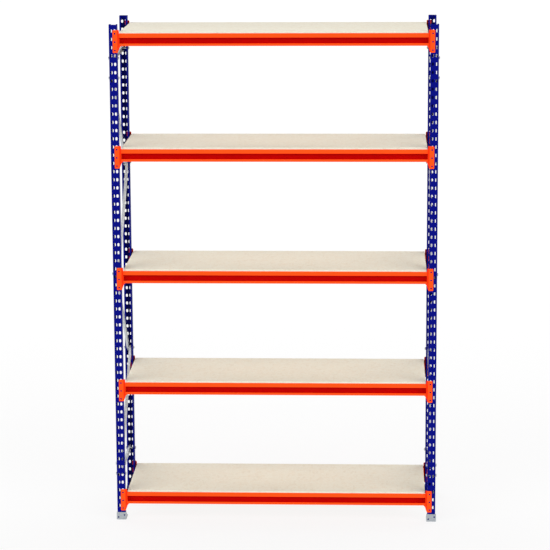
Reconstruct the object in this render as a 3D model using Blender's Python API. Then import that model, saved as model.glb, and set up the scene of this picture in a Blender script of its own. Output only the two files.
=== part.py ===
"""Five-level boltless steel shelving, about 1.58 m wide, 0.53 m deep and 2.46 m tall.

Four perforated C-section uprights stand in push-on foot shoes. Zigzag channel braces and
through bolts make them into a left and a right end frame. Each level is a front beam and a
rear beam, hooked into the slots of the uprights by three tongues at each end, and one
chipboard deck that lies loose on the beams' ledges.

Metres, +Z up, X to the right, -Y towards the front, origin on the floor under the middle.
"""
import math

import bmesh
import bpy
from mathutils import Matrix, Vector

GAP = 0.0003                    # clearance between pieces that touch

# Uprights
PITCH = 0.040                   # height from one row of slots to the next
ROWS = 60
LAST_ROW_HEIGHT = 0.072         # height of the lowest row, which has the highest number
BAY_WIDTH = 1.500               # clear width between the uprights
UPRIGHT_WIDTH = 0.040
UPRIGHT_DEPTH = 0.036
UPRIGHT_LIP = 0.008
UPRIGHT_SHEET = 0.002
UPRIGHT_TOP = 2.462
FRAME_DEPTH = 0.524             # from the front uprights' face to the rear uprights' face
COLUMN_OFFSET = 0.009           # from the middle of a face to each column of slots
SLOT_WIDTH = 0.010
SLOT_HEIGHT = 0.016

# Foot shoes
SHOE_WIDTH = 0.048
SHOE_FRONT_HEIGHT = 0.038
SHOE_REAR_HEIGHT = 0.006
SHOE_DEPTH = 0.075
SHOE_SHEET = 0.0025
SHOE_HOLE_RADIUS = 0.004
SHOE_HOLES = ((-0.0145, 0.0125), (0.0150, 0.0230))

# Braces and their bolts
BRACE_HEIGHT = 0.026            # the web's width, in the plane of the end frame
BRACE_FLANGE = 0.0115
BRACE_SHEET = 0.0015
BRACE_END = 0.006               # from the last bolt to the end of a brace
BOLT_INSET = 0.020              # from the face of an upright to its bolts
BOLT_HOLE_RADIUS = 0.0052
BOLT_RADIUS = 0.0040
BOLT_HEAD_RADIUS = 0.0075
BOLT_HEAD_HEIGHT = 0.0053
NUT_HEIGHT = 0.0055
DIAGONAL_ROWS = (5.7, 17.7, 29.7, 41.7, 53.7)       # front, rear, front, rear, front
HORIZONTAL_ROWS = (3.3, 55.0)

# Levels, from the lowest to the highest: the row that the top hook of each beam goes into
LEVEL_ROWS = (57, 43, 29, 14, 0)

# Beams: a lip, an underside that slopes inward, a recessed web and an upturned lower lip
BEAM_TOP_BELOW_ROW = 0.0125
BEAM_SETBACK = 0.010            # from the uprights' face back to the beam's face
BEAM_END = 0.7428               # half the length of the rolled section
BEAM_SHEET = 0.002
BEAM_HEIGHT = 0.061
BEAM_LIP_HEIGHT = 0.0205
BEAM_WEB_DEPTH = 0.025
BEAM_WEB_TOP = 0.028
BEAM_LOWER_LIP_TOP = 0.049
BEAM_LEDGE = 0.0083             # from the beam's top down to the ledge that holds the deck

# Connectors, measured from the beam's own end towards the upright
CONNECTOR_SHEET = 0.0025
CONNECTOR_ABOVE_ROW = 0.0045
CONNECTOR_HEIGHT = 0.1095
CONNECTOR_LEG = 0.0214
STRIP_WIDTH = 0.0070            # the sloping strip from the leg back to the beam
FLANGE_WIDTH = 0.0160
WINDOW_RADIUS = 0.0040
WINDOW_BELOW_ROW = 0.0130
HOOK_COUNT = 3
HOOK_WIDTH = 0.008
HOOK_NECK = 0.006
HOOK_LENGTH = 0.015
HOOK_SHEET = 0.0025

# Decks
DECK_THICKNESS = 0.016
DECK_LENGTH = 1.477
DECK_DEPTH = 0.499

HALF_BAY = BAY_WIDTH / 2
HALF_WIDTH = HALF_BAY + UPRIGHT_WIDTH
HALF_DEPTH = FRAME_DEPTH / 2
UPRIGHT_FOOT = SHOE_SHEET + GAP
BEAM_FACE = HALF_DEPTH - BEAM_SETBACK
SIDES = (("left", -1), ("right", 1))
FACES = (("front", -1), ("rear", 1))


def row_height(row):
    """Height of the middle of a row of slots, counted from 0 at the top."""
    return LAST_ROW_HEIGHT + PITCH * (ROWS - 1 - row)


# ---------------------------------------------------------------- general tools

def clear_scene():
    for thing in list(bpy.data.objects):
        bpy.data.objects.remove(thing, do_unlink=True)


def painted(name, colour, roughness, metallic):
    """A Principled material of one colour, given as linear red, green and blue."""
    material = bpy.data.materials.new(name)
    material.use_nodes = True
    shader = material.node_tree.nodes["Principled BSDF"]
    shader.inputs["Base Color"].default_value = (*colour, 1.0)
    shader.inputs["Roughness"].default_value = roughness
    shader.inputs["Metallic"].default_value = metallic
    return material


def prism(name, outline, low, high, axis):
    """Mesh of a closed outline carried along one axis from low to high.

    The outline's two coordinates are, in order, the other two axes of XYZ.
    """
    order = {"X": (1, 2, 0), "Y": (0, 2, 1), "Z": (0, 1, 2)}[axis]

    def point(first, second, along):
        place = [0.0, 0.0, 0.0]
        for index, value in zip(order, (first, second, along)):
            place[index] = value
        return place

    shape = bmesh.new()
    corners = [shape.verts.new(point(a, b, low)) for a, b in outline]
    face = shape.faces.new(corners)
    grown = bmesh.ops.extrude_face_region(shape, geom=[face])["geom"]
    moved = [item for item in grown if isinstance(item, bmesh.types.BMVert)]
    bmesh.ops.translate(shape, verts=moved, vec=Vector(point(0, 0, high - low)))
    bmesh.ops.recalc_face_normals(shape, faces=shape.faces)
    mesh = bpy.data.meshes.new(name)
    shape.to_mesh(mesh)
    shape.free()
    return mesh


def box(name, low, high):
    """Mesh of a box between two opposite corners."""
    outline = ((low[0], low[1]), (high[0], low[1]), (high[0], high[1]), (low[0], high[1]))
    return prism(name, outline, low[2], high[2], "Z")


def round_outline(centre, radius, sides, turn=0.0):
    """Corners of a regular polygon, for a round hole or a hexagon."""
    step = 2 * math.pi / sides
    return [(centre[0] + radius * math.cos(turn + step * k),
             centre[1] + radius * math.sin(turn + step * k)) for k in range(sides)]


def sheet_outline(path, thickness):
    """Outline of bent sheet: one surface follows the path, the other lies to its left."""
    points = [Vector(p) for p in path]
    ways = [(b - a).normalized() for a, b in zip(points, points[1:])]
    lefts = [Vector((-way.y, way.x)) for way in ways]
    inner = [points[0] + lefts[0] * thickness]
    for before, after, corner in zip(lefts, lefts[1:], points[1:-1]):
        middle = (before + after).normalized()
        inner.append(corner + middle * (thickness / middle.dot(before)))
    inner.append(points[-1] + lefts[-1] * thickness)
    return [tuple(p) for p in points + inner[::-1]]


def joined(meshes, name):
    """One mesh that holds several separate ones, as a cutter with many teeth."""
    shape = bmesh.new()
    for mesh in meshes:
        shape.from_mesh(mesh)
    result = bpy.data.meshes.new(name)
    shape.to_mesh(result)
    shape.free()
    return result


def turned(mesh, matrix, name):
    """A copy of a mesh, moved by a matrix, with its faces still pointing out."""
    shape = bmesh.new()
    shape.from_mesh(mesh)
    bmesh.ops.transform(shape, matrix=matrix, verts=shape.verts)
    if matrix.determinant() < 0:
        bmesh.ops.reverse_faces(shape, faces=shape.faces)
    result = bpy.data.meshes.new(name)
    shape.to_mesh(result)
    shape.free()
    return result


def carved(mesh, steps, name):
    """The mesh after a series of exact Booleans, each an (operation, mesh) pair."""
    target = bpy.data.objects.new(name, mesh)
    bpy.context.scene.collection.objects.link(target)
    tools = []
    for number, (operation, tool_mesh) in enumerate(steps):
        tool = bpy.data.objects.new(f"{name}_tool_{number}", tool_mesh)
        bpy.context.scene.collection.objects.link(tool)
        tools.append(tool)
        step = target.modifiers.new(operation.lower(), "BOOLEAN")
        step.operation = operation
        step.solver = "EXACT"
        step.object = tool
    graph = bpy.context.evaluated_depsgraph_get()
    result = bpy.data.meshes.new_from_object(target.evaluated_get(graph))
    result.name = name
    for thing in [target] + tools:
        bpy.data.objects.remove(thing, do_unlink=True)
    return result


def place(name, mesh, material, parent, location=(0, 0, 0), turn=(0, 0, 0)):
    """Put one named piece in the scene."""
    piece = bpy.data.objects.new(name, mesh)
    bpy.context.scene.collection.objects.link(piece)
    if not mesh.materials:
        mesh.materials.append(material)
    piece.location = location
    piece.rotation_euler = turn
    piece.parent = parent
    return piece


def group(name, location=(0, 0, 0), parent=None):
    """An empty that carries the pieces which move together."""
    empty = bpy.data.objects.new(name, None)
    bpy.context.scene.collection.objects.link(empty)
    empty.location = location
    empty.parent = parent
    return empty


def facing(face_sign):
    """Turn about Z that brings a piece drawn for the front to the front or the rear."""
    return (0, 0, 0 if face_sign < 0 else math.pi)


# ---------------------------------------------------------------- end frames

def upright_mesh(name, bolt_rows):
    """C-section with its face on Y = 0, its flanges towards +Y, and two columns of slots."""
    half = UPRIGHT_WIDTH / 2
    lip_edge = half - UPRIGHT_LIP
    path = ((-lip_edge, UPRIGHT_DEPTH), (-half, UPRIGHT_DEPTH), (-half, 0.0),
            (half, 0.0), (half, UPRIGHT_DEPTH), (lip_edge, UPRIGHT_DEPTH))
    section = sheet_outline(path, UPRIGHT_SHEET)
    bar = prism(name, section, UPRIGHT_FOOT, UPRIGHT_TOP, "Z")
    margin = UPRIGHT_SHEET
    slots = [box("slot",
                 (side * COLUMN_OFFSET - SLOT_WIDTH / 2, -margin, row_height(row) - SLOT_HEIGHT / 2),
                 (side * COLUMN_OFFSET + SLOT_WIDTH / 2, 2 * margin, row_height(row) + SLOT_HEIGHT / 2))
             for side in (-1, 1) for row in range(ROWS)]
    bolts = [prism("bolt_hole",
                   round_outline((BOLT_INSET, row_height(row)), BOLT_HOLE_RADIUS, 6),
                   -half - margin, half + margin, "X") for row in bolt_rows]
    return carved(bar, (("DIFFERENCE", joined(slots + bolts, "holes")),), name)


def shoe_mesh():
    """Foot shoe: base, front plate with two holes, and two sides that taper to the back."""
    half = SHOE_WIDTH / 2
    front = -(SHOE_SHEET + GAP)
    back = front + SHOE_DEPTH
    side = ((front, 0.0), (back, 0.0), (back, SHOE_REAR_HEIGHT),
            (back - SHOE_REAR_HEIGHT, SHOE_REAR_HEIGHT), (front + SHOE_SHEET, SHOE_FRONT_HEIGHT),
            (front, SHOE_FRONT_HEIGHT))
    body = prism("foot_shoe", side, -half, half, "X")
    inside = box("shoe_inside", (-half + SHOE_SHEET, front + SHOE_SHEET, SHOE_SHEET),
                 (half - SHOE_SHEET, back + SHOE_SHEET, 2 * SHOE_FRONT_HEIGHT))
    holes = [prism("shoe_hole", round_outline(centre, SHOE_HOLE_RADIUS, 10),
                   front - SHOE_SHEET, front + 2 * SHOE_SHEET, "Y") for centre in SHOE_HOLES]
    return carved(body, (("DIFFERENCE", inside), ("DIFFERENCE", joined(holes, "holes"))),
                  "foot_shoe")


def brace_mesh(name, span):
    """Channel along Y, with its web on X = 0 and its flanges towards +X."""
    half = BRACE_HEIGHT / 2
    path = ((BRACE_FLANGE, half), (0.0, half), (0.0, -half), (BRACE_FLANGE, -half))
    section = sheet_outline(path, BRACE_SHEET)
    reach = span / 2 + BRACE_END
    bar = turned(prism(name, section, -reach, reach, "Z"),
                 Matrix(((1, 0, 0, 0), (0, 0, 1, 0), (0, 1, 0, 0), (0, 0, 0, 1))), name)
    holes = [prism("brace_hole", round_outline((end * span / 2, 0.0), BOLT_HOLE_RADIUS, 6),
                   -BRACE_SHEET, 2 * BRACE_SHEET, "X") for end in (-1, 1)]
    return carved(bar, (("DIFFERENCE", joined(holes, "holes")),), name)


def bolt_mesh():
    """Hexagon bolt through an upright, with its nut: head towards -X, nut towards +X."""
    half = UPRIGHT_WIDTH / 2 + GAP
    tail = half + NUT_HEIGHT
    stations = ((-half - BOLT_HEAD_HEIGHT, BOLT_HEAD_RADIUS), (-half, BOLT_HEAD_RADIUS),
                (-half, BOLT_RADIUS), (half, BOLT_RADIUS), (half, BOLT_HEAD_RADIUS),
                (tail, BOLT_HEAD_RADIUS))
    shape = bmesh.new()
    rings = []
    for x, radius in stations:
        corners = round_outline((0.0, 0.0), radius, 6)
        rings.append([shape.verts.new((x, y, z)) for y, z in corners])
    for first, second in zip(rings, rings[1:]):
        for k in range(6):
            after = (k + 1) % 6
            shape.faces.new((first[k], first[after], second[after], second[k]))
    shape.faces.new(rings[0])
    shape.faces.new(rings[-1])
    bmesh.ops.recalc_face_normals(shape, faces=shape.faces)
    mesh = bpy.data.meshes.new("brace_bolt")
    shape.to_mesh(mesh)
    shape.free()
    return mesh


def bolt_rows(face):
    """Rows of the bolts in the front or the rear uprights, from the top down."""
    start = 0 if face == "front" else 1
    return sorted(DIAGONAL_ROWS[start::2] + HORIZONTAL_ROWS)


def bolt_depth(face_sign):
    return face_sign * (HALF_DEPTH - BOLT_INSET)


def brace_turn(flange_sign, rise):
    """Turn of a brace with its flanges towards +X or -X and its rear end raised by an angle."""
    return (rise, 0, 0) if flange_sign > 0 else (-rise, 0, math.pi)


def add_end_frames(steel, zinc, bolt_steel, parent):
    uprights = {face: upright_mesh(f"{face}_upright", bolt_rows(face)) for face, _ in FACES}
    shoe = shoe_mesh()
    bolt = bolt_mesh()
    span = 2 * bolt_depth(1)
    climb = PITCH * (DIAGONAL_ROWS[1] - DIAGONAL_ROWS[0])
    slope = math.atan2(climb, span)
    diagonal = brace_mesh("diagonal_brace", math.hypot(span, climb))
    horizontal = brace_mesh("horizontal_brace", span)
    outer_web = HALF_WIDTH - UPRIGHT_LIP - GAP
    inner_web = HALF_BAY + UPRIGHT_LIP + GAP
    for side, sign in SIDES:
        middle = sign * (HALF_BAY + UPRIGHT_WIDTH / 2)
        head_outside = (0, 0, 0 if sign < 0 else math.pi)
        for face, face_sign in FACES:
            where = (middle, face_sign * HALF_DEPTH, 0.0)
            place(f"{side}_{face}_upright", uprights[face], steel, parent, where, facing(face_sign))
            place(f"{side}_{face}_foot_shoe", shoe, zinc, parent, where, facing(face_sign))
            for number, row in enumerate(bolt_rows(face), 1):
                place(f"{side}_{face}_bolt_{number}", bolt, bolt_steel, parent,
                      (middle, bolt_depth(face_sign), row_height(row)), head_outside)
        for label, row in zip(("top", "bottom"), HORIZONTAL_ROWS):
            place(f"{side}_{label}_brace", horizontal, zinc, parent,
                  (sign * outer_web, 0.0, row_height(row)), brace_turn(-sign, 0.0))
        for number, (upper, lower) in enumerate(zip(DIAGONAL_ROWS, DIAGONAL_ROWS[1:]), 1):
            height = row_height((upper + lower) / 2)
            if number % 2:                      # outer, from the front down to the rear
                where, turn = (sign * outer_web, 0.0, height), brace_turn(-sign, -slope)
            else:                               # inner, from the rear down to the front
                where, turn = (sign * inner_web, 0.0, height), brace_turn(sign, slope)
            place(f"{side}_diagonal_brace_{number}", diagonal, zinc, parent, where, turn)


# ---------------------------------------------------------------- beams and decks

def beam_section():
    """Outline across the beam: depth behind its face, and height from its top."""
    sheet = BEAM_SHEET
    back = BEAM_WEB_DEPTH + sheet
    fall = (BEAM_WEB_TOP - BEAM_LIP_HEIGHT) / BEAM_WEB_DEPTH
    slope_sheet = sheet * math.hypot(1.0, fall)
    slope_top = -BEAM_LIP_HEIGHT + slope_sheet
    return ((0.0, 0.0), (0.0, -BEAM_LIP_HEIGHT), (BEAM_WEB_DEPTH, -BEAM_WEB_TOP),
            (BEAM_WEB_DEPTH, -BEAM_HEIGHT + sheet), (sheet, -BEAM_HEIGHT + sheet),
            (sheet, -BEAM_LOWER_LIP_TOP), (0.0, -BEAM_LOWER_LIP_TOP), (0.0, -BEAM_HEIGHT),
            (back, -BEAM_HEIGHT), (back, slope_top - fall * back),
            (sheet, slope_top - fall * sheet), (sheet, -BEAM_LEDGE - sheet),
            (back, -BEAM_LEDGE - sheet), (back, -BEAM_LEDGE), (sheet, -BEAM_LEDGE), (sheet, 0.0))


def connector_plate():
    """Bent plate at the left end: hooked leg, strip back to the beam, and welded flange."""
    strip_start = -HALF_BAY + 0.0005
    strip_end = strip_start + STRIP_WIDTH
    leg_edge = strip_start - CONNECTOR_LEG - 0.0005
    leg_rear = -BEAM_SETBACK - GAP
    flange_rear = BEAM_SHEET + CONNECTOR_SHEET - GAP
    flange_edge = strip_end + FLANGE_WIDTH
    path = ((flange_edge, flange_rear), (strip_end, flange_rear),
            (strip_start, leg_rear), (leg_edge, leg_rear))
    top = BEAM_TOP_BELOW_ROW + CONNECTOR_ABOVE_ROW
    bottom = top - CONNECTOR_HEIGHT
    plate = prism("connector", sheet_outline(path[::-1], -CONNECTOR_SHEET),
                  bottom - PITCH, top + PITCH, "Z")
    corner = 0.004
    notch_side = strip_end + 0.001
    outline = ((leg_edge, bottom + corner), (leg_edge + corner, bottom),
               (strip_start, bottom), (strip_end + 0.010, -BEAM_HEIGHT + 0.0005),
               (flange_edge + corner, -BEAM_HEIGHT + 0.0005),
               (flange_edge + corner, -BEAM_LOWER_LIP_TOP - 0.001),
               (notch_side, -BEAM_LOWER_LIP_TOP - 0.001), (notch_side, -BEAM_LIP_HEIGHT + 0.001),
               (flange_edge + corner, -BEAM_LIP_HEIGHT + 0.001),
               (flange_edge + corner, -BEAM_TOP_BELOW_ROW), (strip_end + 0.0035, -BEAM_TOP_BELOW_ROW),
               (strip_start + 0.0030, top), (leg_edge + corner, top), (leg_edge, top - corner))
    front = prism("connector_outline", outline, -2 * BEAM_WEB_DEPTH, 2 * BEAM_WEB_DEPTH, "Y")
    column = -HALF_BAY - UPRIGHT_WIDTH / 2 + COLUMN_OFFSET
    hook_rows = [BEAM_TOP_BELOW_ROW - PITCH * k for k in range(HOOK_COUNT)]
    windows = [prism("window", round_outline((column, z - WINDOW_BELOW_ROW), WINDOW_RADIUS, 8),
                     -2 * BEAM_WEB_DEPTH, 2 * BEAM_WEB_DEPTH, "Y") for z in hook_rows]
    return carved(plate, (("INTERSECT", front), ("DIFFERENCE", joined(windows, "windows"))),
                  "connector")


def hook_mesh(row):
    """Neck through a slot and a tongue down behind the upright's face, at the left end."""
    column = -HALF_BAY - UPRIGHT_WIDTH / 2 + COLUMN_OFFSET
    leg_inside = -BEAM_SETBACK - GAP - CONNECTOR_SHEET / 2
    behind = -BEAM_SETBACK + UPRIGHT_SHEET + GAP
    back = behind + HOOK_SHEET
    neck_low = row - SLOT_HEIGHT / 2 + GAP
    neck_high = neck_low + HOOK_NECK
    tip = neck_high - HOOK_LENGTH
    outline = ((leg_inside, neck_high), (back, neck_high), (back, tip), (behind, tip),
               (behind, neck_low), (leg_inside, neck_low))
    return prism("hook", outline, column - HOOK_WIDTH / 2, column + HOOK_WIDTH / 2, "X")


def end_plate():
    """Small plate that closes the left end of the rolled section behind its lips."""
    inset = 0.0006
    return box("end_plate",
               (-BEAM_END - inset, BEAM_SHEET / 2, -BEAM_HEIGHT + inset),
               (-BEAM_END + BEAM_SHEET, BEAM_WEB_DEPTH + BEAM_SHEET / 2, -BEAM_LEDGE - inset))


def beam_mesh():
    """Beam with a connector at each end: face on Y = 0, top on Z = 0, middle on X = 0."""
    bar = prism("beam", beam_section(), -BEAM_END, BEAM_END, "X")
    mirror = Matrix.Diagonal((-1, 1, 1, 1))
    left_end = [connector_plate(), end_plate()]
    left_end += [hook_mesh(BEAM_TOP_BELOW_ROW - PITCH * k) for k in range(HOOK_COUNT)]
    steps = []
    for part in left_end:
        steps.append(("UNION", part))
        steps.append(("UNION", turned(part, mirror, part.name)))
    return carved(bar, steps, "beam")


def add_levels(orange, chipboard, parent):
    beam = beam_mesh()
    deck_bottom = BEAM_LEDGE - GAP
    deck = box("deck", (-DECK_LENGTH / 2, -DECK_DEPTH / 2, -deck_bottom),
               (DECK_LENGTH / 2, DECK_DEPTH / 2, DECK_THICKNESS - deck_bottom))
    for level, row in enumerate(LEVEL_ROWS, 1):
        beam_top = row_height(row) - BEAM_TOP_BELOW_ROW
        lift = group(f"level_{level}", (0, 0, beam_top), parent)
        for face, face_sign in FACES:
            place(f"level_{level}_{face}_beam", beam, orange, lift,
                  (0, face_sign * BEAM_FACE, 0), facing(face_sign))
        place(f"level_{level}_deck", deck, chipboard, lift)


def main():
    clear_scene()
    blue = painted("blue_paint", (0.0020, 0.0050, 0.2200), 0.45, 0.0)
    orange = painted("orange_paint", (1.0000, 0.0900, 0.0090), 0.42, 0.0)
    zinc = painted("galvanised_steel", (0.4000, 0.4300, 0.4600), 0.45, 0.9)
    bolt_steel = painted("zinc_plated_bolt", (0.5000, 0.5200, 0.5400), 0.35, 1.0)
    chipboard = painted("chipboard", (0.7600, 0.6700, 0.5400), 0.75, 0.0)
    shelving = group("shelving")
    add_end_frames(blue, zinc, bolt_steel, shelving)
    add_levels(orange, chipboard, shelving)


main()
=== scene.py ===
"""Looks of a five-level boltless steel shelving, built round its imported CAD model.

Every steel piece is made again as real sheet: rolled bends, punched slots with eased rims,
pressed connectors with hooks and welds, hexagon bolts. The decks are chipboard.
Metres, +Z up, X to the right, -Y towards the front, as in the CAD model.
"""

import math

import bmesh
import bpy
from mathutils import Matrix, Vector
from mathutils.geometry import tessellate_polygon


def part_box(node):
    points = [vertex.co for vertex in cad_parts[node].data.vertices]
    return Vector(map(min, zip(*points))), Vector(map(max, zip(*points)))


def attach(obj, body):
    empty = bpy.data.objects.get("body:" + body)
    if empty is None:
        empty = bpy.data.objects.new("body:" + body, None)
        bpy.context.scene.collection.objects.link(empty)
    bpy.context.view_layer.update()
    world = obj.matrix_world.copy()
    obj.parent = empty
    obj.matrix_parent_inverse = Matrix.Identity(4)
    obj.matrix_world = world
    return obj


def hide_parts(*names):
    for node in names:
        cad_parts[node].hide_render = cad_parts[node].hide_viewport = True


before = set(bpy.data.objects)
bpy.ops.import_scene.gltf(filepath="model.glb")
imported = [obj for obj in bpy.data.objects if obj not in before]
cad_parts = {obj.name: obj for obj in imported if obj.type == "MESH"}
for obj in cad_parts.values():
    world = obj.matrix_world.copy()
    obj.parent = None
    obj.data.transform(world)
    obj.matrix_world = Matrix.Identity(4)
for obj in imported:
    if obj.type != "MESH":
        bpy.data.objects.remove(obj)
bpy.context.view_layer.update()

SIDES = (("left", -1), ("right", 1))
FACES = (("front", -1), ("rear", 1))
LEVELS = (1, 2, 3, 4, 5)
RIM = 0.0004                    # easing of every cut or punched edge

# Uprights
PITCH = 0.040
ROWS = 60
TOP_ROW_BELOW_TOP = 0.030
COLUMN_OFFSET = 0.009           # from the middle of the face to each column of slots
SLOT_WIDTH = 0.010
SLOT_HEIGHT = 0.016
UPRIGHT_SHEET = 0.002
UPRIGHT_LIP = 0.008
UPRIGHT_BEND = 0.003            # outside radius
BOLT_HOLE_RADIUS = 0.0050
BOLT_CELL = 0.010               # half the width of the band that holds the bolt holes

# Foot shoes
SHOE_SHEET = 0.0025
SHOE_BEND = 0.0034
SHOE_REAR_HEIGHT = 0.006
SHOE_HOLE_RADIUS = 0.004
SHOE_HOLES = ((-0.0145, 0.0125), (0.0150, 0.0230))     # from the middle, and height

# Braces, each with the numbers of its front bolt and its rear bolt
BRACE_SHEET = 0.0015
BRACE_HEIGHT = 0.026
BRACE_FLANGE = 0.0115
BRACE_END = 0.006
BRACE_BEND = 0.0028
BRACES = {"top_brace": (1, 1), "diagonal_brace_1": (2, 2), "diagonal_brace_2": (3, 2),
          "diagonal_brace_3": (3, 3), "diagonal_brace_4": (4, 3), "bottom_brace": (5, 4)}
FLANGES_OUT = ("diagonal_brace_2", "diagonal_brace_4")      # the others' flanges point inwards

# Bolts; a profile gives distances along the bolt with the largest radius at each
BOLT_COUNTS = {"front": 5, "rear": 4}
HEX_ACROSS_FLATS = 0.0130
UNCUT = HEX_ACROSS_FLATS        # any radius outside the hexagon's corners
SHANK_RADIUS = 0.0038
HEAD_HEIGHT = 0.0053
HEAD_PROFILE = ((0.0005, 0.0036), (0.0, 0.0044), (0.0, 0.0060), (0.0009, 0.0073),
                (0.0015, UNCUT), (HEAD_HEIGHT, UNCUT), (HEAD_HEIGHT, SHANK_RADIUS))
NUT_HEIGHT = 0.0055
NUT_PROFILE = ((0.0, SHANK_RADIUS), (0.0, 0.0068), (0.0009, UNCUT), (NUT_HEIGHT - 0.0010, UNCUT),
               (NUT_HEIGHT, 0.0062), (NUT_HEIGHT, SHANK_RADIUS))
THREAD_STEP = 0.0004
THREAD_PROFILE = ((THREAD_STEP, SHANK_RADIUS - 0.0003), (2 * THREAD_STEP, SHANK_RADIUS),
                  (3 * THREAD_STEP, SHANK_RADIUS - 0.0003), (0.0015, SHANK_RADIUS - 0.0007))

# Beams, measured from their face and their top
BEAM_SHEET = 0.002
BEAM_END = 0.7428
BEAM_LIP_HEIGHT = 0.0205
BEAM_WEB_DEPTH = 0.025
BEAM_WEB_TOP = 0.028
BEAM_HEIGHT = 0.061
BEAM_LOWER_LIP_TOP = 0.049
BEAM_LEDGE = 0.0083
BEAM_SETBACK = 0.010            # from the uprights' face back to the beam's face
END_PLATE_PROUD = 0.0006        # of the beam's cut end, and inside its outline

# Connectors
CONNECTOR_SHEET = 0.0025
CONNECTOR_TOP = 0.0170          # above the beam's top
CONNECTOR_HEIGHT = 0.1095
CONNECTOR_GAP = 0.0003
CONNECTOR_BEND = 0.0012         # inside radius
STRIP_WIDTH = 0.0070
STRIP_START = 0.0005            # from the side of the bay
FLANGE_WIDTH = 0.0160
FLANGE_TOP = -0.0125            # from the beam's top
FLANGE_BOTTOM = -0.0605
FLANGE_CLEARANCE = 0.001        # from the flange's edges to the beam's recess
LEG_WIDTH = 0.0214
HALF_BAY = 0.750
HOOK_COLUMN = 0.011             # from the side of the bay to the slots that take the hooks
HOOK_COUNT = 3
HOOK_ROW_ABOVE_BEAM = 0.0125
HOOK_WIDTH = 0.008
HOOK_NECK = 0.006
HOOK_LENGTH = 0.015
HOOK_SHEET = 0.0025
WINDOW_RADIUS = 0.0040
WINDOW_BELOW_ROW = 0.0130
LIP_RADIUS = 0.0049
LIP_THICKNESS = 0.0009
LIP_SUNK = 0.0002
WELD_RADIUS = 0.0011
WELD_STEP = 0.0006              # between the rings of a bead
WELD_MARGIN = 0.003             # from a bead's end to the edge of the lip that it joins

# Decks
DECK_ARRIS = 0.0007

# Camera
CAMERA_PLACE = (0.477, -11.632, 3.500)
CAMERA_YAW = 2.394              # degrees to the left
CAMERA_PITCH = 11.214           # degrees down
CAMERA_ROLL = -0.300
CAMERA_LENS = 155.92
SENSOR = 36.0

# Light: each sun's name, azimuth from the front, elevation and strength
SUNS = (("front_left", -45, 25, 1.50), ("front_right", 45, 25, 1.50),
        ("rear_left", -140, 42, 1.00), ("rear_right", 140, 42, 1.00))
SUN_ANGLE = 50                  # degrees across, for soft shadows
ROOM_LIGHT = 0.35               # on the object; the room itself looks plain white
FLOOR_HALF = 90.0
FLOOR_GREY = 0.12
FLOOR_GLOW = 0.90
FLOOR_GLOW_NEAR = 0.93          # share of the glow close to the object
FLOOR_NEAR, FLOOR_FAR = 1.0, 9.0    # the glow grows to its full strength between these distances


# ---------------------------------------------------------------- outlines and folds

def corner_arc(before, corner, after, radius, steps):
    """Points that round one corner of a path."""
    to_before = (before - corner).normalized()
    to_after = (after - corner).normalized()
    half = to_before.angle(to_after) / 2
    centre = corner + (to_before + to_after).normalized() * (radius / math.sin(half))
    arm = corner + to_before * (radius / math.tan(half)) - centre
    sweep = math.copysign(math.pi - 2 * half, to_after.cross(to_before))
    return [centre + Matrix.Rotation(sweep * k / steps, 2) @ arm for k in range(steps + 1)]


def rounded(corners, radii, steps=4, closed=True):
    """A path or outline with an arc at each corner whose radius isn't zero."""
    points = [Vector(corner) for corner in corners]
    result = []
    for k, point in enumerate(points):
        radius = radii[k]
        if radius == 0 or (not closed and k in (0, len(points) - 1)):
            result.append(point)
        else:
            result += corner_arc(points[k - 1], point, points[(k + 1) % len(points)], radius, steps)
    return result


def circle(centre, radius, count):
    step = 2 * math.pi / count
    return [Vector((centre[0] + radius * math.cos(step * k),
                    centre[1] + radius * math.sin(step * k))) for k in range(count)]


def slot_outline(centre, width, height, steps=7):
    """Upright slot with round ends."""
    radius = width / 2
    straight = height / 2 - radius
    ends = []
    for sign, start in ((1, 0.0), (-1, math.pi)):
        for k in range(steps + 1):
            angle = start + math.pi * k / steps
            ends.append(Vector((centre[0] + radius * math.cos(angle),
                                centre[1] + sign * straight + radius * math.sin(angle))))
    return ends


def mitres(points, closed):
    """For each point, the move to its left that shifts both of its edges by one."""
    ways = [(b - a).normalized() for a, b in zip(points, points[1:] + points[:1])]
    lefts = [Vector((-way.y, way.x)) for way in ways]
    moves = []
    for k in range(len(points)):
        before = lefts[k - 1] if closed or k > 0 else lefts[k]
        after = lefts[k] if closed or k < len(points) - 1 else lefts[k - 1]
        middle = (before + after).normalized()
        moves.append(middle / middle.dot(before))
    return moves


def offset(points, distance):
    """The outline moved to its left: inwards where it runs counterclockwise."""
    return [point + move * distance for point, move in zip(points, mitres(points, True))]


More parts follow.
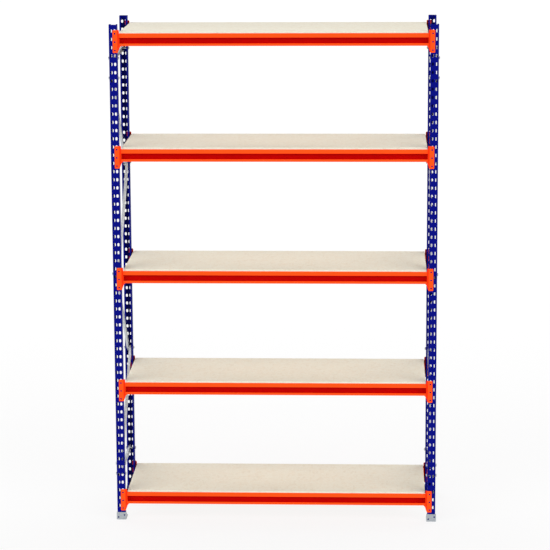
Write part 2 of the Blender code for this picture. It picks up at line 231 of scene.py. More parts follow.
class Fold:
    """The way of a sheet round its bends, by the length along one of its surfaces."""

    def __init__(self, corners, radii, steps=5):
        self.points = rounded(corners, radii, steps, closed=False)
        self.moves = mitres(self.points, False)
        self.lengths = [0.0]
        for before, after in zip(self.points, self.points[1:]):
            self.lengths.append(self.lengths[-1] + (after - before).length)

    def find(self, place):
        """Length along the fold at the point nearest to a place."""
        place = Vector(place)
        best = None
        for k, (before, after) in enumerate(zip(self.points, self.points[1:])):
            way = after - before
            share = min(1.0, max(0.0, (place - before).dot(way) / way.length_squared))
            distance = (before + way * share - place).length
            if best is None or distance < best[0]:
                best = (distance, self.lengths[k] + way.length * share)
        return best[1]

    def at(self, length, depth):
        """Place of a point by its length along the fold and its depth to the left of it."""
        k = 0
        while k < len(self.lengths) - 2 and length > self.lengths[k + 1]:
            k += 1
        share = (length - self.lengths[k]) / (self.lengths[k + 1] - self.lengths[k])
        edges = [self.points[n] + self.moves[n] * depth for n in (k, k + 1)]
        return edges[0].lerp(edges[1], share)

    def bend(self, shape, side=1):
        """Bend a flat sheet: X is its length along the fold, Y its depth, and Z stays."""
        for length in self.lengths[1:-1]:
            everything = shape.verts[:] + shape.edges[:] + shape.faces[:]
            bmesh.ops.bisect_plane(shape, geom=everything, dist=1e-7,
                                   plane_co=(length, 0, 0), plane_no=(1, 0, 0))
        for vertex in shape.verts:
            place = self.at(vertex.co.x, side * vertex.co.y)
            vertex.co = (place.x, place.y, vertex.co.z)
        return shape


# ---------------------------------------------------------------- meshes

def bridge(shape, rings, closed=True):
    """Join successive rings of vertices with four-sided faces."""
    for first, second in zip(rings, rings[1:]):
        count = len(first)
        for k in range(count if closed else count - 1):
            after = (k + 1) % count
            shape.faces.new((first[k], first[after], second[after], second[k]))


def tube(shape, rings):
    """Join successive closed rings and cap both ends."""
    bridge(shape, rings)
    shape.faces.new(rings[0])
    shape.faces.new(rings[-1])
    return shape


def round_ring(shape, centre, across, up, radius, count=10):
    """Ring of vertices round a point, in the plane of two directions."""
    ring = []
    for k in range(count):
        angle = 2 * math.pi * k / count
        arm = across * math.cos(angle) + up * math.sin(angle)
        ring.append(shape.verts.new(centre + arm * radius))
    return ring


def rim_rings(shape, loop, sheet):
    """Four rings through a sheet's thickness, with the rim eased on both surfaces."""
    levels = ((0.0, RIM), (RIM, 0.0), (sheet - RIM, 0.0), (sheet, RIM))
    rings = [[shape.verts.new((point.x, depth, point.y)) for point in offset(loop, inset)]
             for depth, inset in levels]
    bridge(shape, rings)
    return rings


def flat_sheet(outline, holes, sheet):
    """Flat sheet in X and Z, with its thickness along Y; outline and holes counterclockwise."""
    shape = bmesh.new()
    loops = [rim_rings(shape, loop, sheet) for loop in [outline] + [hole[::-1] for hole in holes]]
    for surface in (0, -1):
        rings = [rings[surface] for rings in loops]
        vertices = [vertex for ring in rings for vertex in ring]
        for corners in tessellate_polygon([[vertex.co for vertex in ring] for ring in rings]):
            shape.faces.new([vertices[k] for k in corners])
    return shape


def fan(shape, corners, ring):
    """Fill between the four corners of a cell and the ring of the hole inside it."""
    centre = sum((vertex.co for vertex in ring), Vector()) / len(ring)
    near = [min(range(4), key=lambda k: (corners[k].co - centre).angle(vertex.co - centre))
            for vertex in ring]
    for k, vertex in enumerate(ring):
        after = (k + 1) % len(ring)
        face = [corners[near[k]], vertex, ring[after]]
        if near[after] != near[k]:
            face.append(corners[near[after]])
        shape.faces.new(face)


def punched_grid(columns, rows, holes, sheet):
    """Flat sheet on a grid of lines, with a hole in some of its cells."""
    shape = bmesh.new()
    front, back = ([[shape.verts.new((x, depth, z)) for z in rows] for x in columns]
                   for depth in (0.0, sheet))
    for i in range(len(columns) - 1):
        for j in range(len(rows) - 1):
            cells = [[side[i][j], side[i + 1][j], side[i + 1][j + 1], side[i][j + 1]]
                     for side in (front, back)]
            if (i, j) in holes:
                rings = rim_rings(shape, holes[i, j][::-1], sheet)
                fan(shape, cells[0], rings[0])
                fan(shape, cells[1], rings[-1])
            else:
                for cell in cells:
                    shape.faces.new(cell)
    for end in (0, -1):
        bridge(shape, [[line[end] for line in front], [line[end] for line in back]], closed=False)
        bridge(shape, [front[end], back[end]], closed=False)
    return shape


def bar(outline, low, high):
    """Closed outline in Y and Z carried along X."""
    shape = bmesh.new()
    rings = [[shape.verts.new((x, point.x, point.y)) for point in outline] for x in (low, high)]
    return tube(shape, rings)


def added(target, *parts):
    """Put other shapes into one, as separate closed shells, and free them."""
    for part in parts:
        carrier = bpy.data.meshes.new("carrier")
        part.to_mesh(carrier)
        part.free()
        target.from_mesh(carrier)
        bpy.data.meshes.remove(carrier)
    return target


def moved(shape, matrix):
    bmesh.ops.transform(shape, matrix=matrix, verts=shape.verts)
    return shape


def laid_down(shape):
    """Swap Y and Z, so that a sheet drawn upright lies flat."""
    return moved(shape, Matrix(((1, 0, 0, 0), (0, 0, 1, 0), (0, 1, 0, 0), (0, 0, 0, 1))))


def swelling(face):
    """Six times the signed volume between a face and the origin."""
    corners = [vertex.co for vertex in face.verts]
    return sum(corners[0].dot(a.cross(b)) for a, b in zip(corners[1:], corners[2:]))


def turn_outwards(shape):
    """Make the faces of every closed shell point out of it."""
    bmesh.ops.recalc_face_normals(shape, faces=shape.faces)
    left = set(shape.faces)
    while left:
        shell = [left.pop()]
        for face in shell:
            for near in {near for edge in face.edges for near in edge.link_faces} & left:
                left.discard(near)
                shell.append(near)
        if sum(swelling(face) for face in shell) < 0:
            bmesh.ops.reverse_faces(shape, faces=shell)
    shape.normal_update()


def finished(shape, name, *materials, second=None, crease=35.0):
    """Mesh with smooth bends and crisp edges; second(face) says which faces take material two."""
    turn_outwards(shape)
    for edge in shape.edges:
        edge.smooth = edge.calc_face_angle(math.pi) < math.radians(crease)
    for face in shape.faces:
        face.smooth = True
        if second is not None and second(face):
            face.material_index = 1
    mesh = bpy.data.meshes.new(name)
    shape.to_mesh(mesh)
    shape.free()
    for material in materials:
        mesh.materials.append(material)
    return mesh


def put(name, mesh, body, matrix=None, replaces=()):
    """Place one piece, let it ride on its body and hide the CAD parts that it stands for."""
    piece = bpy.data.objects.new(name, mesh)
    bpy.context.scene.collection.objects.link(piece)
    if matrix is not None:
        piece.matrix_world = matrix
    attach(piece, body)
    if replaces:
        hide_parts(*replaces)
    return piece


def middle_of(node):
    low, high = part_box(node)
    return (low + high) / 2


def facing(face_sign):
    """Turn that brings a piece drawn for the front to the front or the rear."""
    return Matrix.Rotation(0.0 if face_sign < 0 else math.pi, 4, "Z")


# ---------------------------------------------------------------- materials

class Finish:
    """One procedural material: a Principled shader and the nodes that feed it."""

    def __init__(self, name, **constants):
        self.material = bpy.data.materials.new(name)
        self.material.use_nodes = True
        self.tree = self.material.node_tree
        self.shader = self.tree.nodes["Principled BSDF"]
        for socket, value in constants.items():
            self.shader.inputs[socket.replace("_", " ")].default_value = value
        self.place = self.tree.nodes.new("ShaderNodeTexCoord").outputs["Object"]

    def stretched(self, scale, turn=0.0):
        """The object's own coordinates, turned about Z and stretched along each axis."""
        node = self.tree.nodes.new("ShaderNodeMapping")
        node.inputs["Rotation"].default_value = (0.0, 0.0, math.radians(turn))
        node.inputs["Scale"].default_value = scale
        self.tree.links.new(self.place, node.inputs["Vector"])
        return node.outputs["Vector"]

    def warped(self, place, scale, reach):
        """Coordinates pushed about by noise, which frays the edges of a mosaic."""
        noise = self.tree.nodes.new("ShaderNodeTexNoise")
        noise.inputs["Scale"].default_value = scale
        self.tree.links.new(self.place, noise.inputs["Vector"])
        push = self.tree.nodes.new("ShaderNodeVectorMath")
        push.operation = "MULTIPLY_ADD"
        push.inputs[1].default_value = (reach, reach, reach)
        self.tree.links.new(noise.outputs["Color"], push.inputs[0])
        self.tree.links.new(place, push.inputs[2])
        return push.outputs["Vector"]

    def noise(self, scale, detail=3.0, distortion=0.0, place=None):
        node = self.tree.nodes.new("ShaderNodeTexNoise")
        node.inputs["Scale"].default_value = scale
        node.inputs["Detail"].default_value = detail
        node.inputs["Distortion"].default_value = distortion
        self.tree.links.new(place or self.place, node.inputs["Vector"])
        return node.outputs["Fac"]

    def cells(self, scale, place=None):
        """A different grey for each cell of a random mosaic."""
        node = self.tree.nodes.new("ShaderNodeTexVoronoi")
        node.inputs["Scale"].default_value = scale
        self.tree.links.new(place or self.place, node.inputs["Vector"])
        grey = self.tree.nodes.new("ShaderNodeSeparateColor")
        self.tree.links.new(node.outputs["Color"], grey.inputs["Color"])
        return grey.outputs["Red"]

    def ramp(self, source, *stops):
        """Colour or grey by a value, from (position, colour) stops."""
        node = self.tree.nodes.new("ShaderNodeValToRGB")
        elements = node.color_ramp.elements
        while len(elements) < len(stops):
            elements.new(0.5)
        for element, (position, colour) in zip(elements, stops):
            element.position = position
            element.color = (*colour, 1.0) if isinstance(colour, tuple) else (colour,) * 3 + (1.0,)
        self.tree.links.new(source, node.inputs["Fac"])
        return node.outputs["Color"]

    def mix(self, share, first, second):
        """Blend of two colours; the sockets are picked by number, because their names repeat."""
        node = self.tree.nodes.new("ShaderNodeMix")
        node.data_type = "RGBA"
        factor, colour_a, colour_b, result = (node.inputs[0], node.inputs[6], node.inputs[7],
                                              node.outputs[2])
        if isinstance(share, float):
            factor.default_value = share
        else:
            self.tree.links.new(share, factor)
        self.tree.links.new(first, colour_a)
        self.tree.links.new(second, colour_b)
        return result

    def feed(self, socket, source):
        self.tree.links.new(source, self.shader.inputs[socket])

    def bump(self, source, strength, height):
        node = self.tree.nodes.new("ShaderNodeBump")
        node.inputs["Strength"].default_value = strength
        node.inputs["Distance"].default_value = height
        self.tree.links.new(source, node.inputs["Height"])
        self.tree.links.new(node.outputs["Normal"], self.shader.inputs["Normal"])


def shade(colour, factor):
    return tuple(channel * factor for channel in colour)


def powder_coat(name, colour, roughness, gloss):
    """Baked powder paint: faint orange peel, clouds of tone and slightly uneven gloss."""
    paint = Finish(name, Specular_IOR_Level=gloss)
    clouds = paint.noise(9.0, detail=5.0)
    specks = paint.noise(420.0, detail=2.0)
    tone = paint.ramp(clouds, (0.30, shade(colour, 0.93)), (0.72, shade(colour, 1.05)))
    grain = paint.ramp(specks, (0.35, shade(colour, 0.96)), (0.65, shade(colour, 1.04)))
    paint.feed("Base Color", paint.mix(0.4, tone, grain))
    paint.feed("Roughness", paint.ramp(clouds, (0.3, roughness - 0.05), (0.7, roughness + 0.07)))
    paint.bump(paint.noise(650.0, detail=2.0), 0.25, 0.00012)
    return paint.material


def galvanised(name, colour, roughness, spangle):
    """Hot-dip zinc: a mosaic of crystals, each with its own grey and gloss."""
    zinc = Finish(name, Metallic=0.55, Specular_IOR_Level=0.5)
    crystals = zinc.cells(spangle, zinc.stretched((1.0, 1.0, 0.7)))
    bloom = zinc.noise(35.0, detail=6.0, distortion=0.6)
    grey = zinc.ramp(crystals, (0.0, shade(colour, 0.86)), (1.0, shade(colour, 1.12)))
    cloud = zinc.ramp(bloom, (0.30, shade(colour, 0.90)), (0.70, shade(colour, 1.08)))
    zinc.feed("Base Color", zinc.mix(0.5, grey, cloud))
    zinc.feed("Roughness", zinc.ramp(crystals, (0.0, roughness - 0.10), (1.0, roughness + 0.12)))
    zinc.bump(zinc.noise(260.0, detail=4.0), 0.3, 0.00015)
    return zinc.material


def plated(name, colour):
    """Bright zinc plate with fine turning marks."""
    metal = Finish(name, Metallic=0.9)
    marks = metal.noise(900.0, detail=2.0, place=metal.stretched((1.0, 0.15, 0.15)))
    tone = metal.ramp(marks, (0.3, shade(colour, 0.85)), (0.7, shade(colour, 1.1)))
    metal.feed("Base Color", tone)
    metal.feed("Roughness", metal.ramp(marks, (0.3, 0.24), (0.7, 0.42)))
    metal.bump(marks, 0.3, 0.00008)
    return metal.material


def chipboard(name, pale, warm, dark, stretch):
    """Pressed wood: two layers of long frayed chips over fine dust, under a sanded surface."""
    board = Finish(name, Specular_IOR_Level=0.25)
    flat, tall = stretch
    leaning = board.stretched((flat, 1.0, tall), 28.0)
    slivers = board.cells(150.0, board.warped(leaning, 90.0, 0.012))
    leaning = board.stretched((1.0, flat, tall), -35.0)
    chips = board.cells(105.0, board.warped(leaning, 60.0, 0.016))
    dust = board.cells(520.0)
    clouds = board.noise(13.0, detail=6.0, distortion=0.8)
    flecks = board.noise(170.0, detail=5.0, distortion=1.2)
    under = board.ramp(chips, (0.0, shade(pale, 1.05)), (0.55, pale), (0.84, warm), (1.0, dark))
    over = board.ramp(slivers, (0.0, shade(pale, 1.07)), (0.60, pale), (0.90, warm), (1.0, dark))
    fine = board.ramp(dust, (0.0, shade(pale, 1.06)), (0.5, pale), (1.0, shade(warm, 0.96)))
    surface = board.mix(0.5, under, over)
    surface = board.mix(0.35, surface, fine)
    surface = board.mix(board.ramp(flecks, (0.50, 0.0), (0.72, 0.35)), surface,
                        board.ramp(clouds, (0.3, warm), (0.7, dark)))
    broad = board.ramp(clouds, (0.25, shade(pale, 0.96)), (0.75, shade(pale, 1.05)))
    board.feed("Base Color", board.mix(0.35, surface, broad))
    board.feed("Roughness", board.ramp(dust, (0.0, 0.56), (1.0, 0.78)))
    board.bump(flecks, 0.4, 0.0003)
    return board.material


def studio_floor():
    """Plain pale floor, whitest far away, that takes only a faint shadow."""
    grey = (FLOOR_GREY, FLOOR_GREY, FLOOR_GREY, 1.0)
    ground = Finish("studio_floor", Base_Color=grey, Roughness=0.9,
                    Specular_IOR_Level=0.0, Emission_Strength=FLOOR_GLOW)
    distance = ground.tree.nodes.new("ShaderNodeVectorMath")
    distance.operation = "LENGTH"
    ground.tree.links.new(ground.place, distance.inputs[0])
    spread = ground.tree.nodes.new("ShaderNodeMapRange")
    spread.inputs["From Min"].default_value = FLOOR_NEAR
    spread.inputs["From Max"].default_value = FLOOR_FAR
    ground.tree.links.new(distance.outputs["Value"], spread.inputs["Value"])
    glow = ground.ramp(spread.outputs["Result"], (0.0, FLOOR_GLOW_NEAR), (1.0, 1.0))
    ground.feed("Emission Color", glow)
    return ground.material


BLUE = powder_coat("upright_blue", (0.0002, 0.0020, 0.1750), 0.45, 0.05)
ORANGE = powder_coat("beam_orange", (1.0000, 0.0720, 0.0040), 0.50, 0.10)
# painted shade: a darker, redder orange that stands in for the shadow in the beams' recess
PAINTED_SHADE_ORANGE = powder_coat("beam_orange_painted_shade", (0.6000, 0.0009, 0.0006), 0.55, 0.02)
# painted shade: a redder orange for the connectors' back side and strip, which lie in shade
PAINTED_SHADE_CONNECTOR_ORANGE = powder_coat("connector_orange_painted_shade", (1.0000, 0.0330, 0.0030), 0.55, 0.05)
SHOE_ZINC = galvanised("shoe_galvanised", (0.38, 0.41, 0.44), 0.50, 140.0)
BRACE_ZINC = galvanised("brace_galvanised", (0.60, 0.63, 0.66), 0.46, 110.0)
BOLT_PLATE = plated("bolt_zinc_plate", (0.58, 0.60, 0.62))
BOARD_FACE = chipboard("deck_board_face", (0.705, 0.675, 0.575), (0.700, 0.592, 0.440),
                       (0.560, 0.475, 0.350), (0.35, 1.0))
BOARD_EDGE = chipboard("deck_board_edge", (0.690, 0.690, 0.590), (0.600, 0.520, 0.370),
                       (0.430, 0.350, 0.240), (0.35, 2.4))


# ---------------------------------------------------------------- end frames

def upright(node, bolts):
    """C-section with two columns of slots; its face is on Y = 0, its flanges go to +Y."""
    low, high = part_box(node)
    half, depth = (high.x - low.x) / 2, high.y - low.y
    lip = half - UPRIGHT_LIP
    fold = Fold(((-lip, depth), (-half, depth), (-half, 0), (half, 0), (half, depth), (lip, depth)),
                (0,) + (UPRIGHT_BEND,) * 4 + (0,))
    heights = [high.z - TOP_ROW_BELOW_TOP - PITCH * row for row in reversed(range(ROWS))]
    bolt_places = [middle_of(bolt) for bolt in bolts]
    bolt_depth = depth / 2 + abs(abs(bolt_places[0].y) - abs(low.y + high.y) / 2)
    flange = [fold.find((side * half, bolt_depth + step * BOLT_CELL))
              for side in (-1, 1) for step in (-1, 1)]
    face = [fold.find((x, 0)) for x in (-half + UPRIGHT_BEND, 0.0, half - UPRIGHT_BEND)]
    columns = sorted([0.0, fold.lengths[-1]] + flange + face)
    rows = [low.z] + [z - PITCH / 2 for z in heights] + [heights[-1] + PITCH / 2, high.z]
    slot_cells = [columns.index(face[0]), columns.index(face[1])]
    bolt_cells = [columns.index(min(flange[:2])), columns.index(min(flange[2:]))]
    holes = {}
    for j, z in enumerate(heights, 1):
        for i, side in zip(slot_cells, (-1, 1)):
            centre = (fold.find((side * COLUMN_OFFSET, 0)), z)
            holes[i, j] = slot_outline(centre, SLOT_WIDTH, SLOT_HEIGHT)
    for place in bolt_places:
        j = max(k for k, z in enumerate(rows) if z < place.z)
        for i, side in zip(bolt_cells, (-1, 1)):
            centre = (fold.find((side * half, bolt_depth)), place.z)
            holes[i, j] = circle(centre, BOLT_HOLE_RADIUS, 16)
    shape = fold.bend(punched_grid(columns, rows, holes, UPRIGHT_SHEET))
    return finished(shape, node, BLUE)


def foot_shoe(node):
    """Pressed shoe: a base with a wall round three sides, holed in front and low at the rear."""
    low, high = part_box(node)
    half, depth, height = (high.x - low.x) / 2, high.y - low.y, high.z - low.z
    fold = Fold(((-half, depth), (-half, 0), (half, 0), (half, depth)),
                (0, SHOE_BEND, SHOE_BEND, 0))
    length = fold.lengths[-1]
    left, right = (fold.find((side * half, 3 * SHOE_SHEET)) for side in (-1, 1))
    taper = 2 * SHOE_REAR_HEIGHT
    outline = rounded(((0, 0), (length, 0), (length, SHOE_REAR_HEIGHT),
                       (length - taper, SHOE_REAR_HEIGHT), (right, height), (left, height),
                       (taper, SHOE_REAR_HEIGHT), (0, SHOE_REAR_HEIGHT)),
                      (0.001, 0.001, 0.003, 0.012, 0.006, 0.006, 0.012, 0.003))
    holes = [circle((fold.find((x, 0)), z), SHOE_HOLE_RADIUS, 24) for x, z in SHOE_HOLES]
    shape = fold.bend(flat_sheet(outline, holes, SHOE_SHEET))
    floor = rounded(((-half, 0), (half, 0), (half, depth), (-half, depth)),
                    (SHOE_BEND, SHOE_BEND, 0.001, 0.001))
    base = flat_sheet(offset(floor, SHOE_SHEET / 2), [], SHOE_SHEET)
    added(shape, laid_down(base))
    return finished(shape, "foot_shoe", SHOE_ZINC)


def hexagon_ring(shape, x, limit, count=36):
    """Ring across a bolt: a hexagon, cut down to a circle where the limit is smaller."""
    sector = math.pi / 3
    ring = []
    for k in range(count):
        angle = 2 * math.pi * k / count
        flat = HEX_ACROSS_FLATS / 2 / math.cos((angle % sector) - sector / 2)
        radius = min(flat, limit)
        ring.append(shape.verts.new((x, radius * math.cos(angle), radius * math.sin(angle))))
    return ring


def bolt(width):
    """Hexagon bolt through an upright: chamfered head towards -X, nut and thread towards +X."""
    half = width / 2 + CONNECTOR_GAP
    stations = [(x - half - HEAD_HEIGHT, limit) for x, limit in HEAD_PROFILE]
    stations += [(x + half, limit) for x, limit in NUT_PROFILE]
    stations += [(x + half + NUT_HEIGHT, limit) for x, limit in THREAD_PROFILE]
    shape = bmesh.new()
    tube(shape, [hexagon_ring(shape, x, limit) for x, limit in stations])
    return finished(shape, "brace_bolt", BOLT_PLATE, crease=25.0)


def brace(span):
    """Channel along Y with its web on X = 0 and its flanges towards +X."""
    half = BRACE_HEIGHT / 2
    fold = Fold(((BRACE_FLANGE, half), (0, half), (0, -half), (BRACE_FLANGE, -half)),
                (0, BRACE_BEND, BRACE_BEND, 0))
    reach = span / 2 + BRACE_END
    length = fold.lengths[-1]
    outline = rounded(((0, -reach), (length, -reach), (length, reach), (0, reach)), (0.005,) * 4)
    holes = [circle((length / 2, end * span / 2), BOLT_HOLE_RADIUS, 20) for end in (-1, 1)]
    shape = fold.bend(flat_sheet(outline, holes, BRACE_SHEET))
    return finished(laid_down(shape), "brace", BRACE_ZINC)


def put_uprights(side, sign, upright_meshes, shoe_mesh, bolt_mesh):
    """The front and the rear upright of one side, each with its shoe and its bolts."""
    for face, face_sign in FACES:
        post, shoe = f"{side}_{face}_upright", f"{side}_{face}_foot_shoe"
        low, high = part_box(post)
        outside = low.y if face_sign < 0 else high.y
        middle = Vector(((low.x + high.x) / 2, outside, 0))
        put(post + "_sheet", upright_meshes[face], "frame",
            Matrix.Translation(middle) @ facing(face_sign), (post,))
        low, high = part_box(shoe)
        middle.y = low.y if face_sign < 0 else high.y
        put(shoe + "_pressing", shoe_mesh, "frame",
            Matrix.Translation(middle) @ facing(face_sign), (shoe,))
        for number in range(1, BOLT_COUNTS[face] + 1):
            node = f"{side}_{face}_bolt_{number}"
            place = middle_of(node)
            place.x = middle.x
            put(node + "_hexagon", bolt_mesh, "frame",
                Matrix.Translation(place) @ facing(sign), (node,))


def put_braces(side, sign, brace_meshes):
    """One side's braces, each between two bolts; braces of one length share their mesh."""
    for name, (front_bolt, rear_bolt) in BRACES.items():
        node = f"{side}_{name}"
        front = middle_of(f"{side}_front_bolt_{front_bolt}")
        rear = middle_of(f"{side}_rear_bolt_{rear_bolt}")
        way = rear - front
        span = round(math.hypot(way.y, way.z), 4)
        if span not in brace_meshes:
            brace_meshes[span] = brace(span)
        low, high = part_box(node)
        flange_sign = sign if name in FLANGES_OUT else -sign
        middle = (front + rear) / 2
        middle.x = low.x if flange_sign > 0 else high.x
        rise = math.atan2(way.z, way.y)
        turn = Matrix.Rotation(rise, 4, "X")
        if flange_sign < 0:
            turn = Matrix.Rotation(math.pi, 4, "Z") @ Matrix.Rotation(-rise, 4, "X")
        put(node + "_channel", brace_meshes[span], "frame",
            Matrix.Translation(middle) @ turn, (node,))


def end_frames():
    """Both sides' uprights, foot shoes, bolts and braces."""
    low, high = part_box("left_front_upright")
    bolt_mesh = bolt(high.x - low.x)
    shoe_mesh = foot_shoe("left_front_foot_shoe")
    upright_meshes = {}
    for face, count in BOLT_COUNTS.items():
        bolts = [f"left_{face}_bolt_{number}" for number in range(1, count + 1)]
        upright_meshes[face] = upright(f"left_{face}_upright", bolts)
    brace_meshes = {}
    for side, sign in SIDES:
        put_uprights(side, sign, upright_meshes, shoe_mesh, bolt_mesh)
        put_braces(side, sign, brace_meshes)


# ---------------------------------------------------------------- beams

def beam_outline():
    """Section of the beam: depth behind its face, and height from its top."""
    sheet = BEAM_SHEET
    back = BEAM_WEB_DEPTH + sheet
    fall = (BEAM_WEB_TOP - BEAM_LIP_HEIGHT) / BEAM_WEB_DEPTH
    slope_top = -BEAM_LIP_HEIGHT + sheet * math.hypot(1.0, fall)
    edge, inside, outside = 0.0009, 0.0010, 0.0028
    corners = (((0, 0), edge), ((0, -BEAM_LIP_HEIGHT), outside),
               ((BEAM_WEB_DEPTH, -BEAM_WEB_TOP), inside),
               ((BEAM_WEB_DEPTH, sheet - BEAM_HEIGHT), inside),
               ((sheet, sheet - BEAM_HEIGHT), inside),
               ((sheet, -BEAM_LOWER_LIP_TOP), edge), ((0, -BEAM_LOWER_LIP_TOP), edge),
               ((0, -BEAM_HEIGHT), outside), ((back, -BEAM_HEIGHT), outside),
               ((back, slope_top - fall * back), outside),
               ((sheet, slope_top - fall * sheet), inside),
               ((sheet, -BEAM_LEDGE - sheet), inside), ((back, -BEAM_LEDGE - sheet), edge),
               ((back, -BEAM_LEDGE), edge), ((sheet, -BEAM_LEDGE), inside), ((sheet, 0), edge))
    return rounded([corner for corner, _ in corners], [radius for _, radius in corners])


def takes_painted_shade(face):
    """Whether a face of the beam lies in the fold between its two lips, where shade is painted."""
    centre = face.calc_center_median()
    behind_lips = BEAM_SHEET * 0.6 < centre.y < BEAM_WEB_DEPTH + BEAM_SHEET / 2
    between_lips = BEAM_SHEET / 2 - BEAM_HEIGHT < centre.z < RIM / 2 - BEAM_LIP_HEIGHT
    return behind_lips and between_lips and abs(face.normal.x) < 0.5


def beam():
    """Rolled section with a small plate that closes each end."""
    shape = bar(beam_outline(), -BEAM_END, BEAM_END)
    top, bottom = -BEAM_LEDGE - BEAM_SHEET / 2, END_PLATE_PROUD - BEAM_HEIGHT
    plate = rounded(((BEAM_SHEET / 2, bottom), (BEAM_WEB_DEPTH, bottom), (BEAM_WEB_DEPTH, top),
                     (BEAM_SHEET / 2, top)), (0.001,) * 4)
    for end in (-1, 1):
        outer = end * (BEAM_END + END_PLATE_PROUD)
        low, high = sorted((outer, outer - end * BEAM_SHEET))
        added(shape, bar(plate, low, high))
    # the recess faces take painted shade, a dark red in place of the shadow under the upper lip
    return finished(shape, "beam_profile", ORANGE, PAINTED_SHADE_ORANGE, second=takes_painted_shade)


def pressed_lip(centre, depth, steps=14):
    """Raised lip over the upper half of a window, thinning to a quarter at both ends."""
    shape = bmesh.new()
    rings = []
    for k in range(steps + 1):
        angle = math.pi * k / steps
        size = LIP_THICKNESS * (0.25 + 0.75 * math.sin(angle))
        arm = Vector((math.cos(angle), 0, math.sin(angle)))
        spine = Vector((centre[0], depth, centre[1])) + arm * LIP_RADIUS
        rings.append(round_ring(shape, spine, arm, Vector((0, 1, 0)), size))
    return tube(shape, rings)


def hook(column, row):
    """Neck through a slot and a tongue down behind the upright's face."""
    inside = -BEAM_SETBACK - CONNECTOR_GAP - CONNECTOR_SHEET / 2
    behind = -BEAM_SETBACK + UPRIGHT_SHEET + CONNECTOR_GAP
    back = behind + HOOK_SHEET
    neck_low = row - SLOT_HEIGHT / 2 + CONNECTOR_GAP
    neck_high = neck_low + HOOK_NECK
    tip = neck_high - HOOK_LENGTH
    outline = rounded(((inside, neck_high), (inside, neck_low), (behind, neck_low), (behind, tip),
                       (back, tip), (back, neck_high)), (0, 0, 0.0008, 0.0006, 0.0012, 0.0025))
    turn = Matrix.Rotation(math.pi / 2, 4, "Z")
    return moved(flat_sheet(outline, [], HOOK_WIDTH),
                 Matrix.Translation((column + HOOK_WIDTH / 2, 0, 0)) @ turn)


def connector(end):
    """Bent plate at one end of a beam: hooked leg, strip back to the beam, welded flange."""
    strip_start = STRIP_START - HALF_BAY
    strip_end = strip_start + STRIP_WIDTH
    leg_edge = -HALF_BAY - LEG_WIDTH
    leg_rear = -BEAM_SETBACK - CONNECTOR_GAP
    flange_rear = BEAM_SHEET + CONNECTOR_SHEET - CONNECTOR_GAP
    flange_edge = strip_end + FLANGE_WIDTH
    fold = Fold(((leg_edge, leg_rear), (strip_start, leg_rear), (strip_end, flange_rear),
                 (flange_edge, flange_rear)),
                (0, CONNECTOR_BEND, CONNECTOR_BEND + CONNECTOR_SHEET, 0))
    first = fold.find((strip_start, leg_rear))
    second = fold.find((strip_end, flange_rear))
    edge = fold.lengths[-1]
    bottom = CONNECTOR_TOP - CONNECTOR_HEIGHT
    column = -HALF_BAY - HOOK_COLUMN
    rows = [HOOK_ROW_ABOVE_BEAM - PITCH * k for k in range(HOOK_COUNT)]
    recess_side = second + FLANGE_CLEARANCE
    recess_top = FLANGE_CLEARANCE - BEAM_LIP_HEIGHT
    recess_bottom = -BEAM_LOWER_LIP_TOP - FLANGE_CLEARANCE
    corners = (((0, bottom), 0.004), ((first - 0.001, bottom), 0.005),
               ((second + 0.010, FLANGE_BOTTOM), 0.006), ((edge, FLANGE_BOTTOM), 0.0015),
               ((edge, recess_bottom), 0.001), ((recess_side, recess_bottom), 0.001),
               ((recess_side, recess_top), 0.001), ((edge, recess_top), 0.001),
               ((edge, FLANGE_TOP), 0.0015), ((second + 0.0025, FLANGE_TOP), 0.0015),
               ((second - 0.0030, CONNECTOR_TOP), 0.003), ((0, CONNECTOR_TOP), 0.004))
    outline = rounded([corner for corner, _ in corners], [radius for _, radius in corners],
                      steps=5)
    along = fold.find((column, leg_rear))
    windows = [circle((along, row - WINDOW_BELOW_ROW), WINDOW_RADIUS, 24) for row in rows]
    shape = flat_sheet(outline, windows, CONNECTOR_SHEET)
    # the faces on the back side take painted shade
    for face in shape.faces:
        if face.calc_center_median().y < RIM:
            face.material_index = 1         # the side that looks back into the shelving
    fold.bend(shape, side=-1)
    shape.normal_update()
    # the strip's faces take painted shade, as they face sideways
    for face in shape.faces:
        if strip_start < face.calc_center_median().x < strip_end and abs(face.normal.x) > 0.4:
            face.material_index = 1         # the strip that leads back to the beam
    front = leg_rear - CONNECTOR_SHEET
    for row in rows:
        added(shape, hook(column, row),
              pressed_lip((column, row - WINDOW_BELOW_ROW), front + LIP_SUNK))
    if end > 0:
        moved(shape, Matrix.Diagonal((-1, 1, 1, 1)))
    return finished(shape, "connector", ORANGE, PAINTED_SHADE_CONNECTOR_ORANGE)


def weld_bead(start, end):
    """Straight bead of weld, rippled every four rings and tapered at both ends."""
    shape = bmesh.new()
    rings = []
    start = Vector(start)
    way = Vector(end) - start
    steps = max(4, int(way.length / WELD_STEP))
    across = way.orthogonal().normalized()
    up = way.cross(across).normalized()
    for k in range(steps + 1):
        share = k / steps
        taper = min(1.0, 4 * share + 0.3, 4 * (1 - share) + 0.3)
        radius = WELD_RADIUS * taper * (1.0 + 0.16 * math.sin(2 * math.pi * k / 4))
        rings.append(round_ring(shape, start + way * share, across, up, radius))
    return tube(shape, rings)


def welds(end):
    """Beads that join one connector to the two lips of the beam."""
    lip_end = end * BEAM_END
    flange_edge = end * (BEAM_END - FLANGE_WIDTH + 0.0002)
    middle, rear = BEAM_SHEET / 2, BEAM_SHEET + 0.0004
    shape = weld_bead((lip_end, middle, FLANGE_TOP),
                      (lip_end, middle, WELD_MARGIN - BEAM_LIP_HEIGHT))
    added(shape,
          weld_bead((lip_end, middle, -BEAM_LOWER_LIP_TOP - WELD_MARGIN / 2),
                    (lip_end, middle, WELD_MARGIN - BEAM_HEIGHT)),
          weld_bead((flange_edge, rear, 0.002 - BEAM_LIP_HEIGHT),
                    (flange_edge, rear, FLANGE_TOP - 0.0005)))
    return finished(shape, "connector_weld", ORANGE, crease=60.0)


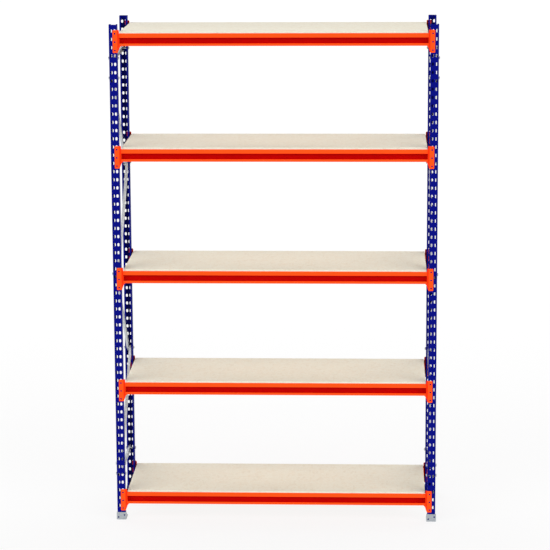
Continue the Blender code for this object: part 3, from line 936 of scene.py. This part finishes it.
def levels():
    """Both beams of every level, each with its two connectors and their welds."""
    beam_mesh = beam()
    connectors = {end: connector(end) for end in (-1, 1)}
    weld_meshes = {end: welds(end) for end in (-1, 1)}
    for level in LEVELS:
        for face, face_sign in FACES:
            node = f"level_{level}_{face}_beam"
            low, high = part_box(node)
            outside = low.y if face_sign < 0 else high.y
            face_place = outside - face_sign * (BEAM_SETBACK + CONNECTOR_GAP + CONNECTOR_SHEET)
            top = high.z - CONNECTOR_TOP
            where = Matrix.Translation((0, face_place, top)) @ facing(face_sign)
            body = f"level_{level}_beams"
            put(node + "_profile", beam_mesh, body, where, (node,))
            for end in (-1, 1):
                side = "left" if end * face_sign > 0 else "right"
                put(f"{node}_{side}_connector", connectors[end], body, where)
                put(f"{node}_{side}_weld", weld_meshes[end], body, where)


# ---------------------------------------------------------------- decks

def deck(node):
    """Chipboard panel with its arrises just broken by sanding."""
    low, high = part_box(node)
    shape = bmesh.new()
    bmesh.ops.create_cube(shape, size=1.0)
    size = high - low
    moved(shape, Matrix.Translation((low + high) / 2) @ Matrix.Diagonal((*size, 1.0)))
    bmesh.ops.bevel(shape, geom=shape.edges[:], offset=DECK_ARRIS, segments=2, profile=0.5,
                    affect="EDGES")
    return finished(shape, node, BOARD_FACE, BOARD_EDGE,
                    second=lambda face: abs(face.normal.z) < 0.5)


def decks():
    for level in LEVELS:
        node = f"level_{level}_deck"
        put(node + "_board", deck(node), f"level_{level}_deck_body", None, (node,))


# ---------------------------------------------------------------- studio

def studio():
    """White room, soft lights from the front and the rear, and a pale floor."""
    scene = bpy.context.scene
    scene.view_settings.view_transform = "Standard"
    world = bpy.data.worlds.new("studio_world")
    scene.world = world
    world.use_nodes = True
    nodes, links = world.node_tree.nodes, world.node_tree.links
    background = nodes["Background"]
    background.inputs["Color"].default_value = (1.0, 1.0, 1.0, 1.0)
    strength = nodes.new("ShaderNodeMapRange")
    strength.inputs["To Min"].default_value = ROOM_LIGHT
    strength.inputs["To Max"].default_value = 1.0
    links.new(nodes.new("ShaderNodeLightPath").outputs["Is Camera Ray"], strength.inputs["Value"])
    links.new(strength.outputs["Result"], background.inputs["Strength"])
    for name, azimuth, elevation, energy in SUNS:
        lamp = bpy.data.lights.new(name, "SUN")
        lamp.energy = energy
        lamp.angle = math.radians(SUN_ANGLE)
        light = bpy.data.objects.new(name, lamp)
        scene.collection.objects.link(light)
        light.rotation_euler = (math.radians(90 - elevation), 0, math.radians(azimuth))
    half = FLOOR_HALF
    corners = ((-half, -half, 0), (half, -half, 0), (half, half, 0), (-half, half, 0))
    mesh = bpy.data.meshes.new("studio_floor")
    mesh.from_pydata(corners, [], [(0, 1, 2, 3)])
    mesh.materials.append(studio_floor())
    floor = bpy.data.objects.new("studio_floor", mesh)
    scene.collection.objects.link(floor)


def camera():
    """The photograph's viewing angle."""
    lens = bpy.data.cameras.new("photo_camera")
    lens.lens = CAMERA_LENS
    lens.sensor_width = SENSOR
    lens.clip_end = 400.0
    eye = bpy.data.objects.new("photo_camera", lens)
    bpy.context.scene.collection.objects.link(eye)
    eye.matrix_world = (Matrix.Translation(CAMERA_PLACE)
                        @ Matrix.Rotation(math.radians(CAMERA_YAW), 4, "Z")
                        @ Matrix.Rotation(math.radians(90 - CAMERA_PITCH), 4, "X")
                        @ Matrix.Rotation(math.radians(CAMERA_ROLL), 4, "Z"))
    bpy.context.scene.camera = eye


end_frames()
levels()
decks()
studio()
camera()
